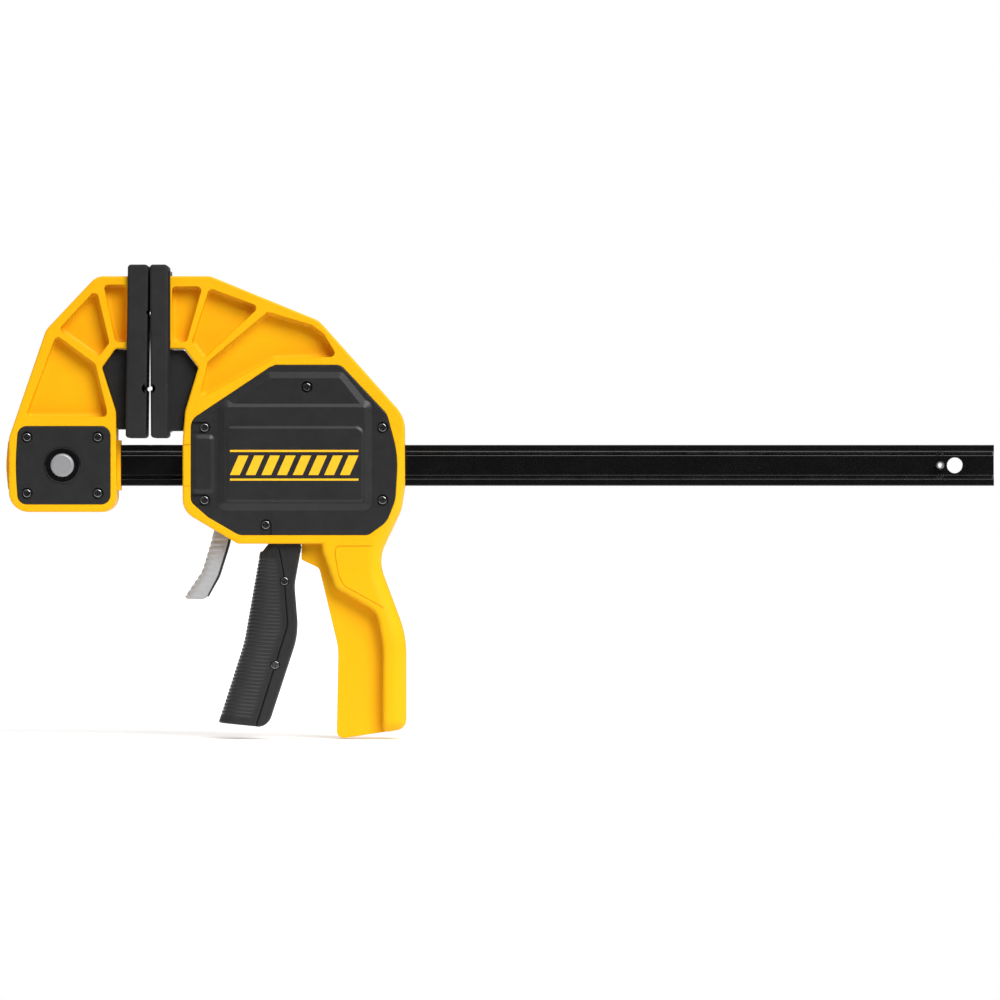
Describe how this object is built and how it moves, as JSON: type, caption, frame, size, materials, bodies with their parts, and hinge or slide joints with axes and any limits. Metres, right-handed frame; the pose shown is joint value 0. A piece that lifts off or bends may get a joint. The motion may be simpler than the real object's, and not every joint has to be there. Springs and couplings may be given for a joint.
{
  "type": "one-handed bar clamp",
  "caption": "One-handed trigger bar clamp: I-section bar, latched end jaw, sliding jaw with pistol handle, squeeze trigger and brake release lever.",
  "frame": {"origin": "on the bar's axis, at the plane where the two pads meet", "axes": "+X along the bar towards its free end, +Y away from the side with the release button, +Z from the handle towards the jaws"},
  "size_m": [0.5673, 0.045, 0.2715],
  "materials": {
    "yellow_nylon": "satin moulded nylon",
    "black_plastic": "fine textured moulded plastic",
    "pad_rubber": "soft matt rubber",
    "bar_paint": "gloss black enamel",
    "silver_plastic": "silver metallic",
    "screw_steel": "dark plated steel",
    "tool_steel": "ground steel",
    "spring_steel": "bright spring wire",
    "black_steel": "blackened steel"
  },
  "bodies": {
    "bar_and_fixed_jaw": {"bar": "bar_paint", "bar_stop_pin": "tool_steel", "bar_end_socket": "yellow_nylon", "bar_inner_socket": "yellow_nylon", "fixed_jaw": "yellow_nylon", "fixed_cover_front": "black_plastic", "fixed_cover_back": "black_plastic", "fixed_cover_screws": "screw_steel", "fixed_pad_carrier": "black_plastic", "fixed_pad": "pad_rubber", "release_bezel": "black_plastic", "latch_spring": "spring_steel"},
    "latch_button": {"release_button": "silver_plastic", "latch_yoke": "tool_steel", "latch_pin": "tool_steel"},
    "moving_jaw": {"housing": "yellow_nylon", "housing_cover_front": "black_plastic", "housing_cover_back": "black_plastic", "housing_cover_screws": "screw_steel", "front_bar_guide": "tool_steel", "rear_bar_guide": "tool_steel", "trigger_pivot_pin": "tool_steel", "brake_pivot_pin": "tool_steel", "moving_pad_carrier": "black_plastic", "moving_pad": "pad_rubber", "drive_spring_upper": "spring_steel", "drive_spring_lower": "spring_steel", "brake_spring": "spring_steel"},
    "trigger": {"trigger_core": "black_plastic", "trigger_grip_front": "black_plastic", "trigger_grip_back": "black_plastic", "trigger_screws": "screw_steel"},
    "drive": {"drive_plate_1": "tool_steel", "drive_plate_2": "tool_steel", "drive_plate_3": "tool_steel"},
    "release_lever": {"brake_plate": "black_steel", "brake_grip": "silver_plastic"}
  },
  "joints": [
    {"name": "jaw_slide", "type": "slide", "parent": "bar_and_fixed_jaw", "child": "moving_jaw", "axis": [1, 0, 0], "range_m": [0, 0.305]},
    {"name": "trigger_squeeze", "type": "hinge", "parent": "moving_jaw", "child": "trigger", "pos_m": [0.08, 0, 0.031], "axis": [0, -1, 0], "range_deg": [0, 9], "stiffness_Nm_per_rad": 2, "springref_deg": -5.73},
    {"name": "drive_stroke", "type": "slide", "parent": "moving_jaw", "child": "drive", "axis": [1, 0, 0], "range_m": [0, 0.0026], "deforming": ["drive_spring_upper", "drive_spring_lower"]},
    {"name": "brake_release", "type": "hinge", "parent": "moving_jaw", "child": "release_lever", "pos_m": [0.0515, 0, 0.0185], "axis": [0, -1, 0], "range_deg": [0, 6], "stiffness_Nm_per_rad": 1, "springref_deg": -5.73, "deforming": ["brake_spring"]},
    {"name": "latch_press", "type": "slide", "parent": "bar_and_fixed_jaw", "child": "latch_button", "axis": [0, 1, 0], "range_m": [0, 0.0045], "stiffness_N_per_m": 800, "springref_m": -0.002, "deforming": ["latch_spring"]}
  ],
  "couplings": [
    {"joint": "drive_stroke", "follows": "trigger_squeeze", "m_per_rad": 0.014386}
  ]
}
